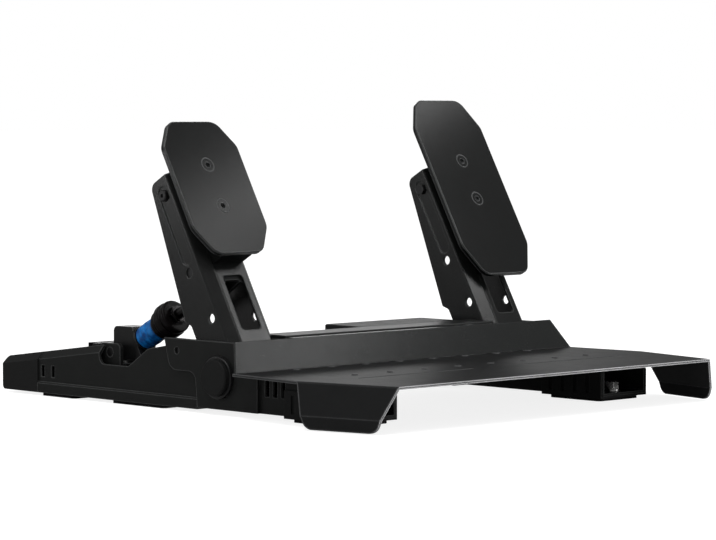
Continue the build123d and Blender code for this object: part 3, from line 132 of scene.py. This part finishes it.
# coats, plastics and metals: colours are linear, lengths in metres, grain and mottle are noise scales; edgeLight
# is a painted highlight on rounded edges that also stands for edge wear
finishes = {
    "powderCoat": {
        "colour": (0.0092, 0.0096, 0.0094, 1), "rough": 0.4, "roughSpread": 0.06, "specular": 0.04,
        "grain": 1500, "grainDepth": 0.00005, "mottle": 60, "mottleShare": 0.14,
        "edge": 0.0011, "edgeGain": 1.8, "edgeLight": (0.07, 0.072, 0.072, 1)},
    "armCoat": {
        "colour": (0.0034, 0.0037, 0.0036, 1), "rough": 0.23, "roughSpread": 0.04, "specular": 0.25,
        "grain": 1500, "grainDepth": 0.00004, "mottle": 60, "mottleShare": 0.12,
        "edge": 0.0014, "edgeGain": 1.8, "edgeLight": (0.04, 0.042, 0.041, 1)},
    "plateCoat": {
        "colour": (0.0092, 0.0094, 0.0096, 1), "rough": 0.5, "roughSpread": 0.05, "specular": 0.03,
        "grain": 1500, "grainDepth": 0.00004, "mottle": 60, "mottleShare": 0.14,
        "edge": 0.0017, "edgeGain": 2.4, "edgeLight": (0.10, 0.101, 0.103, 1),
        # painted highlight on the front-facing edges of the plate's front and of the wings
        "frontHighlightColour": (0.7, 0.7, 0.71, 1), "frontHighlightFrom": -0.205, "frontHighlightBelow": 0.005, "frontHighlightSlope": 300,
        "frontSlope": 1.6, "frontFrom": 0.5},
    "panelCoat": {
        "colour": (0.008, 0.0087, 0.0085, 1), "rough": 0.26, "roughSpread": 0.03, "specular": 0.17,
        "grain": 1500, "grainDepth": 0.00004, "mottle": 55, "mottleShare": 0.1,
        "edge": 0.0007, "edgeGain": 1.4, "edgeLight": (0.02, 0.021, 0.021, 1)},
    "faceCoat": {
        "colour": (0.0035, 0.0038, 0.0037, 1), "rough": 0.21, "roughSpread": 0.02, "specular": 0.17,
        "grain": 1700, "grainDepth": 0.00002, "mottle": 45, "mottleShare": 0.1,
        "edge": 0.001, "edgeGain": 2.4, "edgeLight": (0.10, 0.103, 0.103, 1)},
    "blackPlastic": {
        "colour": (0.0075, 0.0077, 0.0077, 1), "rough": 0.5, "roughSpread": 0.08, "specular": 0.05,
        "grain": 2600, "grainDepth": 0.00008, "mottle": 80, "mottleShare": 0.15,
        "edge": 0.0006, "edgeGain": 1.4, "edgeLight": (0.02, 0.021, 0.021, 1)},
    # black plastic made darker still: painted shade under the face plates
    "spacerPlasticPaintedShade": {
        "colour": (0.0018, 0.0019, 0.0019, 1), "rough": 0.6, "roughSpread": 0.06, "specular": 0.03,
        "grain": 2600, "grainDepth": 0.00006, "mottle": 80, "mottleShare": 0.15,
        "edge": 0.0005, "edgeGain": 1.0, "edgeLight": (0.004, 0.004, 0.004, 1)},
    "rubberPad": {
        "colour": (0.005, 0.005, 0.005, 1), "rough": 0.78, "roughSpread": 0.1, "specular": 0.08,
        "grain": 1800, "grainDepth": 0.00015, "mottle": 120, "mottleShare": 0.3,
        "edge": 0.0005, "edgeGain": 1.0, "edgeLight": (0.012, 0.012, 0.012, 1)},
    "strutRubber": {
        "colour": (0.0035, 0.0028, 0.003, 1), "rough": 0.3, "roughSpread": 0.1, "specular": 0.07,
        "grain": 900, "grainDepth": 0.00005, "mottle": 150, "mottleShare": 0.3,
        "edge": 0.0006, "edgeGain": 1.0, "edgeLight": (0.016, 0.011, 0.012, 1)},
    "blackScrews": {
        "colour": (0.012, 0.012, 0.0125, 1), "rough": 0.34, "roughSpread": 0.1, "specular": 0.3,
        "metallic": 0.5, "grain": 2200, "grainDepth": 0.00003, "mottle": 300, "mottleShare": 0.3,
        "edge": 0.0003, "edgeGain": 1.6, "edgeLight": (0.05, 0.05, 0.05, 1)},
    "blackAluminium": {
        "colour": (0.007, 0.007, 0.0072, 1), "rough": 0.34, "roughSpread": 0.08, "specular": 0.16,
        "metallic": 0.2, "grain": 2400, "grainDepth": 0.00003, "mottle": 200, "mottleShare": 0.2,
        "edge": 0.0005, "edgeGain": 1.8, "edgeLight": (0.04, 0.04, 0.041, 1)},
    "brightSteel": {
        "colour": (0.42, 0.42, 0.41, 1), "rough": 0.26, "roughSpread": 0.12, "specular": 0.5,
        "metallic": 1.0, "grain": 1200, "grainDepth": 0.00003, "mottle": 220, "mottleShare": 0.25,
        "edge": 0.0003, "edgeGain": 1.0, "edgeLight": (0.6, 0.6, 0.6, 1)},
    "oiledSteel": {
        "colour": (0.03, 0.0285, 0.029, 1), "rough": 0.3, "roughSpread": 0.12, "specular": 0.4,
        "metallic": 1.0, "grain": 1200, "grainDepth": 0.00003, "mottle": 220, "mottleShare": 0.3,
        "edge": 0.0003, "edgeGain": 1.0, "edgeLight": (0.09, 0.085, 0.086, 1)},
    "springSteel": {
        "colour": (0.12, 0.12, 0.125, 1), "rough": 0.3, "roughSpread": 0.12, "specular": 0.5,
        "metallic": 0.95, "grain": 1500, "grainDepth": 0.00004, "mottle": 260, "mottleShare": 0.4,
        "edge": 0.0002, "edgeGain": 0.5, "edgeLight": (0.25, 0.25, 0.25, 1)},
    "aluminium": {
        "colour": (0.45, 0.46, 0.47, 1), "rough": 0.35, "roughSpread": 0.1, "specular": 0.5,
        "metallic": 1.0, "grain": 1600, "grainDepth": 0.00003, "mottle": 180, "mottleShare": 0.15,
        "edge": 0.0004, "edgeGain": 1.0, "edgeLight": (0.65, 0.66, 0.67, 1)},
    "bronze": {
        "colour": (0.36, 0.21, 0.085, 1), "rough": 0.45, "roughSpread": 0.12, "specular": 0.5,
        "metallic": 0.9, "grain": 3000, "grainDepth": 0.00006, "mottle": 260, "mottleShare": 0.35,
        "edge": 0.0003, "edgeGain": 1.0, "edgeLight": (0.5, 0.32, 0.15, 1)},
    "circuitBoard": {
        "colour": (0.008, 0.085, 0.032, 1), "rough": 0.35, "roughSpread": 0.06, "specular": 0.5,
        "grain": 900, "grainDepth": 0.00004, "mottle": 300, "mottleShare": 0.3,
        "edge": 0.0002, "edgeGain": 1.0, "edgeLight": (0.1, 0.2, 0.1, 1)},
}

# what every finish shares: noise settings, how fast the painted edge highlight (partly edge wear) rises, and the
# even part of it and of the painted front-edge highlight
skin = {"grainDetail": 2.0, "mottleDetail": 4.0, "mottleRoughness": 0.6, "edgeSamples": 6, "edgeSlope": 6,
        "evenEdgeHighlightAndWear": 0.45, "evenFrontHighlight": 0.35, "grainGloss": 0.05}
noiseMiddle = 0.5


def shaded(colour, share):
    return [value * share for value in colour[:3]] + [1]


# painted highlight: a near-white colour on the front-facing edges of the plate's front and of the wings, where
# light from the front catches them
def addFrontEdgeHighlight(edgeShare, colour, mottle, place, normal, recipe):
    facing = edgeShare.node("SeparateXYZ", {}, {"Vector": normal}, output="Y")
    reach = edgeShare.node("SeparateXYZ", {}, {"Vector": place}, output="Y")
    height = edgeShare.node("SeparateXYZ", {}, {"Vector": place}, output="Z")
    ahead = ((recipe["frontHighlightFrom"] - reach) * recipe["frontHighlightSlope"]).clamped()
    wingTop = highest("heel_plate").z - recipe["frontHighlightBelow"]
    below = ((wingTop - height) * recipe["frontHighlightSlope"]).clamped()
    front = (-recipe["frontSlope"] * facing - recipe["frontFrom"]).clamped()
    frontHighlight = edgeShare * ahead.larger(below) * front
    return (frontHighlight * (skin["evenFrontHighlight"] + (1 - skin["evenFrontHighlight"]) * mottle)).colours(colour, recipe["frontHighlightColour"])


# a fine-grained skin: mottled colour, uneven gloss, grain in the bump and lighter rounded edges, which are a
# painted highlight that also stands for edge wear
def makeFinish(name, recipe):
    material = bpy.data.materials.new(name)
    start = emptyTree(material)
    place = start.node("TexCoord", output="Object")
    grain = start.node("TexNoise", {}, {"Vector": place, "Scale": recipe["grain"],
                                        "Detail": skin["grainDetail"]})
    mottle = start.node("TexNoise", {}, {"Vector": place, "Scale": recipe["mottle"],
                                         "Detail": skin["mottleDetail"],
                                         "Roughness": skin["mottleRoughness"]})
    rounded = start.node("Bevel", {"samples": skin["edgeSamples"]}, {"Radius": recipe["edge"]})
    flat = start.node("NewGeometry", output="Normal")
    agree = start.node("VectorMath", {"operation": "DOT_PRODUCT"}, {0: rounded, 1: flat}, output="Value")
    edgeShare = ((1 - agree) * (skin["edgeSlope"] * recipe["edgeGain"])).clamped()
    body = mottle.colours(shaded(recipe["colour"], 1 - recipe["mottleShare"]),
                          shaded(recipe["colour"], 1 + recipe["mottleShare"]))
    # painted highlight, partly edge wear: the edge colour is mixed in where the rounded normal leaves the flat one
    edgeHighlightAndWear = edgeShare * (skin["evenEdgeHighlightAndWear"] + (1 - skin["evenEdgeHighlightAndWear"]) * mottle)
    colour = edgeHighlightAndWear.colours(body, recipe["edgeLight"])
    # painted highlight on front-facing edges
    if "frontHighlightColour" in recipe:
        colour = addFrontEdgeHighlight(edgeShare, colour, mottle, place, flat, recipe)
    gloss = (recipe["rough"] + (mottle - noiseMiddle) * (2 * recipe["roughSpread"])
             + (grain - noiseMiddle) * skin["grainGloss"])
    bump = start.node("Bump", {}, {"Strength": 1.0, "Distance": recipe["grainDepth"], "Height": grain,
                                   "Normal": rounded})
    shader = start.node("BsdfPrincipled", {}, {
        "Base Color": colour, "Roughness": gloss, "Normal": bump, "Metallic": recipe.get("metallic", 0.0),
        "Specular IOR Level": recipe["specular"]})
    start.node("OutputMaterial", {}, {"Surface": shader})
    return material


materials = {name: makeFinish(name, recipe) for name, recipe in finishes.items()}

# blue polyurethane, slightly clouded
blueRubber = {"deep": (0.001, 0.036, 0.145, 1), "pale": (0.007, 0.15, 0.44, 1), "clouds": 150,
              "cloudDetail": 3.0, "cloudFrom": 0.35, "cloudSlope": 2.6, "grain": 1500, "grainDetail": 1.0,
              "grainDepth": 0.00003, "rough": 0.34, "roughSpread": 0.1, "specular": 0.12}


def makeBlue(recipe):
    material = bpy.data.materials.new("blueElastomer")
    start = emptyTree(material)
    place = start.node("TexCoord", output="Object")
    clouds = start.node("TexNoise", {}, {"Vector": place, "Scale": recipe["clouds"],
                                         "Detail": recipe["cloudDetail"]})
    grain = start.node("TexNoise", {}, {"Vector": place, "Scale": recipe["grain"],
                                        "Detail": recipe["grainDetail"]})
    share = ((clouds - recipe["cloudFrom"]) * recipe["cloudSlope"]).clamped()
    colour = share.colours(recipe["deep"], recipe["pale"])
    gloss = recipe["rough"] + (clouds - noiseMiddle) * (2 * recipe["roughSpread"])
    bump = start.node("Bump", {}, {"Strength": 1.0, "Distance": recipe["grainDepth"], "Height": grain})
    shader = start.node("BsdfPrincipled", {}, {
        "Base Color": colour, "Roughness": gloss, "Normal": bump, "Specular IOR Level": recipe["specular"]})
    start.node("OutputMaterial", {}, {"Surface": shader})
    return material


materials["blueElastomer"] = makeBlue(blueRubber)

# the record's material slots and the finish that each one shows
finishOfSlot = {
    "powder_coat": "powderCoat", "panel_coat": "panelCoat", "face_coat": "faceCoat",
    "black_plastic": "blackPlastic", "rubber_pad": "rubberPad", "strut_rubber": "strutRubber",
    "blue_elastomer": "blueElastomer", "black_screws": "blackScrews", "bright_steel": "brightSteel",
    "spring_steel": "springSteel", "black_aluminium": "blackAluminium", "aluminium": "aluminium",
    "bronze": "bronze", "circuit_board": "circuitBoard",
}
# nodes whose finish differs from the rest of their slot
finishOfNode = {
    "strut_rod": "oiledSteel", "rod_clip": "oiledSteel", "heel_plate": "plateCoat",
    "brake_arm": "armCoat", "throttle_arm": "armCoat",
    "brake_face_screws": "faceCoat", "throttle_face_screws": "faceCoat",
    # the spacers get the darker copy of black plastic as painted shade under the face plates
    "brake_spacer": "spacerPlasticPaintedShade", "throttle_spacer": "spacerPlasticPaintedShade",
}
for part in frame["record"]["subparts"]:
    node = nodes[part["node"]]
    finish = finishOfNode.get(part["node"], finishOfSlot[part["material_slot"]])
    node.data.materials.clear()
    node.data.materials.append(materials[finish])
print("materials made:", len(materials))


def addObject(name, data):
    made = bpy.data.objects.new(name, data)
    bpy.context.collection.objects.link(made)
    return made


def deselectAll():
    bpy.ops.object.select_all(action="DESELECT")


def pick(made):
    deselectAll()
    made.select_set(True)
    bpy.context.view_layer.objects.active = made


# a spot with its own axes: Z runs the first way, and X as near the second way as it can
def turnedPlace(spot, upright, along):
    upright = upright.normalized()
    across = upright.cross(Vector(along)).normalized()
    turn = Matrix((across.cross(upright), across, upright)).transposed().to_4x4()
    return Matrix.Translation(spot) @ turn


# throttle return spring, wound round the throttle's pivot: one leg lies on the arm, one on the rail's floor
# and angles are in degrees
springSizes = {"radius": 12.6 * mm, "wire": 2.2 * mm, "turns": 5, "pitch": 3.1 * mm, "armLeg": 19 * mm,
               "floorLeg": 18 * mm, "armAngle": 15, "floorAngle": 64, "lean": 29.5, "pointsInTurn": 24,
               "roundness": 4, "smoothAngle": 40}


def springLine(sizes, centre):
    first = 180 - sizes["lean"] + sizes["armAngle"]
    last = 180 + sizes["floorAngle"] + 360 * sizes["turns"]
    width = sizes["pitch"] * (last - first) / 360
    count = round((last - first) / 360 * sizes["pointsInTurn"])
    line = []
    for index in range(count + 1):
        share = index / count
        angle = math.radians(first + (last - first) * share)
        line.append(centre + Vector((width * (share - 0.5), sizes["radius"] * math.cos(angle),
                                     sizes["radius"] * math.sin(angle))))
    armWay = (line[0] - line[1]).normalized()
    floorWay = (line[-1] - line[-2]).normalized()
    return [line[0] + armWay * sizes["armLeg"]] + line + [line[-1] + floorWay * sizes["floorLeg"]]


def wireAlong(name, line, sizes):
    curve = bpy.data.curves.new(name, "CURVE")
    curve.dimensions = "3D"
    curve.bevel_depth = sizes["wire"] / 2
    curve.bevel_resolution = sizes["roundness"]
    curve.use_fill_caps = True
    spline = curve.splines.new("POLY")
    spline.points.add(len(line) - 1)
    for point, spot in zip(spline.points, line):
        point.co = (*spot, 1)
    made = addObject(name, curve)
    pick(made)
    bpy.ops.object.convert(target="MESH")
    bpy.ops.object.shade_smooth_by_angle(angle=math.radians(sizes["smoothAngle"]))
    return made


pivot = middle("throttle_axle")
springCentre = Vector((middle("throttle_spring").x, pivot.y, pivot.z))
springPoints = springLine(springSizes, springCentre)
spring = wireAlong("throttleReturnSpring", springPoints, springSizes)
spring.data.materials.append(materials["springSteel"])
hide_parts("throttle_spring")
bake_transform(spring)
print("spring wound")


# blue bumper on the brake's strut, in the strut's own frame: Z runs from its trunnion up to the arm
bumperSizes = {"radius": 9.2 * mm, "bore": 4.1 * mm, "start": 22.2 * mm, "length": 20 * mm, "crown": 0.4 * mm,
               "edge": 1.3 * mm, "cornerShare": 0.3, "groove": 0.7 * mm, "grooveSpots": (0.34, 0.66),
               "grooveSpread": 0.035, "steps": 28, "sides": 64, "merge": 0.01 * mm, "smoothAngle": 35,
               "keep": 0.69}


def jointNamed(name):
    return next(joint for joint in frame["joints"] if joint["name"] == name)


strutWay = -Vector(jointNamed("strut_stroke")["axis"])
strutPlace = turnedPlace(jointNamed("strut_tilt")["pos_m"], strutWay, (1, 0, 0))


def bumperProfile(sizes):
    low = sizes["start"]
    high = low + sizes["length"]
    edge = sizes["edge"]
    corner = edge * sizes["cornerShare"]
    outer = []
    for index in range(sizes["steps"] + 1):
        share = index / sizes["steps"]
        height = low + edge + (sizes["length"] - 2 * edge) * share
        bulge = sizes["crown"] * math.sin(math.pi * share)
        dip = sizes["groove"] * sum(math.exp(-((share - spot) / sizes["grooveSpread"]) ** 2)
                                    for spot in sizes["grooveSpots"])
        outer.append((sizes["radius"] - sizes["crown"] + bulge - dip, height))
    lowRadius = outer[0][0]
    highRadius = outer[-1][0]
    lowEnd = [(sizes["bore"], low), (lowRadius - edge, low), (lowRadius - corner, low + corner)]
    highEnd = [(highRadius - corner, high - corner), (highRadius - edge, high), (sizes["bore"], high)]
    return lowEnd + outer + highEnd


# a closed outline of radius and height pairs, spun about Z
def turnedProfile(name, profile, sizes):
    mesh = bpy.data.meshes.new(name)
    made = addObject(name, mesh)
    mesh.from_pydata([(radius, 0, height) for radius, height in profile],
                     [(index, (index + 1) % len(profile)) for index in range(len(profile))], [])
    pick(made)
    bpy.ops.object.mode_set(mode="EDIT")
    bpy.ops.mesh.select_all(action="SELECT")
    bpy.ops.mesh.spin(steps=sizes["sides"], angle=2 * math.pi, center=(0, 0, 0), axis=(0, 0, 1))
    bpy.ops.mesh.select_all(action="SELECT")
    bpy.ops.mesh.remove_doubles(threshold=sizes["merge"])
    bpy.ops.mesh.normals_make_consistent(inside=False)
    bpy.ops.object.mode_set(mode="OBJECT")
    bpy.ops.object.shade_smooth_by_angle(angle=math.radians(sizes["smoothAngle"]))
    return made


bumper = turnedProfile("brakeBumper", bumperProfile(bumperSizes), bumperSizes)
bumper.data.transform(strutPlace)
bumper.data.materials.append(materials["blueElastomer"])
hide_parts("brake_elastomer")
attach(bumper, "strut_base")
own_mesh(bumper)
print("bumper turned")


# floor and world: white to the camera, a share of white in reflections, and the object's shadow kept
stageSizes = {"floorHalf": 30.0, "floorColour": (0.86, 0.86, 0.86, 1), "floorGlow": 0.62, "floorLight": 1.36,
              "worldLight": 0.65, "mirrored": 0.4}


def rayShare(start, kind):
    return start.node("LightPath", output="Is " + kind + " Ray")


# 1 for rays from the camera and through glass, a share for reflections
def seenShare(start, sizes):
    reflected = rayShare(start, "Glossy") * sizes["mirrored"]
    return rayShare(start, "Camera").larger(reflected).larger(rayShare(start, "Transmission"))


def makeFloor(sizes):
    deselectAll()
    bpy.ops.mesh.primitive_plane_add(size=2 * sizes["floorHalf"])
    floor = bpy.context.object
    floor.name = "paleFloor"
    material = bpy.data.materials.new("paleFloor")
    start = emptyTree(material)
    plain = start.node("BsdfDiffuse", {}, {"Color": sizes["floorColour"]})
    reflected = rayShare(start, "Glossy")
    # the floor is as bright in reflections as the world is
    strength = sizes["floorLight"] - reflected * (sizes["floorLight"] - sizes["mirrored"])
    glow = start.node("Emission", {}, {"Color": white, "Strength": strength})
    share = (seenShare(start, sizes) * sizes["floorGlow"]).larger(reflected)
    both = start.node("MixShader", {}, {0: share, 1: plain, 2: glow})
    start.node("OutputMaterial", {}, {"Surface": both})
    floor.data.materials.append(material)


def makeWorld(sizes):
    world = bpy.data.worlds.new("studio")
    bpy.context.scene.world = world
    start = emptyTree(world)
    strength = seenShare(start, sizes).larger(rayShare(start, "Diffuse") * sizes["worldLight"])
    background = start.node("Background", {}, {"Color": white, "Strength": strength})
    start.node("OutputWorld", {}, {"Surface": background})


makeFloor(stageSizes)
makeWorld(stageSizes)

# lamps: where each hangs, where it points, the way its long side runs, its sides and its power
lamps = {
    "overhead": {"place": (-0.5, -0.2, 1.7), "aim": (0, 0, 0.08), "along": (1, 0, 0),
                 "sides": (0.9, 0.9), "watts": 18},
    "faceStrip": {"place": (0.443, -0.232, 0.583), "aim": (-0.131, -0.009, 0.145),
                  "along": (0.625, 0.779, -0.180), "sides": (0.5, 0.055), "watts": 0.46},
    "lowStrip": {"place": (0.462, -0.435, 0.566), "aim": (-0.1, -0.03, 0.1),
                 "along": (0.680, 0.639, -0.362), "sides": (0.18, 0.06), "watts": 0.42},
    "edgeStrip": {"place": (1.0, -1.2, 0.10), "aim": (0, -0.2, 0.06), "along": (1, 1, 0),
                  "sides": (0.8, 0.16), "watts": 8},
    "backRight": {"place": (1.05, 1.15, 0.55), "aim": (0, -0.05, 0.08), "along": (1, -1, 0),
                  "sides": (0.7, 0.3), "watts": 2.8},
    "bevelStrip": {"place": (-0.40, -0.50, 0.77), "aim": (0.155, -0.03, 0.12), "along": (1, -1, 0),
                   "sides": (0.16, 0.22), "watts": 1.7},
    "rearLeft": {"place": (-0.86, 0.69, 0.24), "aim": (-0.16, 0.05, 0.16), "along": (1, 1, 0),
                 "sides": (0.14, 0.16), "watts": 0.95},
}


def hangLamp(name, lamp):
    light = bpy.data.lights.new(name, "AREA")
    light.shape = "RECTANGLE"
    light.size, light.size_y = lamp["sides"]
    light.energy = lamp["watts"]
    made = addObject(name, light)
    back = Vector(lamp["place"]) - Vector(lamp["aim"])  # a lamp shines down its own Z
    made.matrix_world = turnedPlace(lamp["place"], back, lamp["along"])
    made.visible_camera = False


for name, lamp in lamps.items():
    hangLamp(name, lamp)
print("lamps hung:", len(lamps))

# camera at the photograph's place, fitted to its straight edges
cameraSizes = {"place": (-1.5236, -1.5725, 0.2089), "azimuth": 44.30, "down": 2.986, "lens": 148.7,
               "sensor": 36}
camera = addObject("camera", bpy.data.cameras.new("camera"))
camera.location = cameraSizes["place"]
camera.rotation_euler = (math.radians(90 - cameraSizes["down"]), 0, -math.radians(cameraSizes["azimuth"]))
camera.data.lens = cameraSizes["lens"]
camera.data.sensor_width = cameraSizes["sensor"]
bpy.context.scene.camera = camera
bpy.context.scene.view_settings.view_transform = "Standard"
print("stage set")
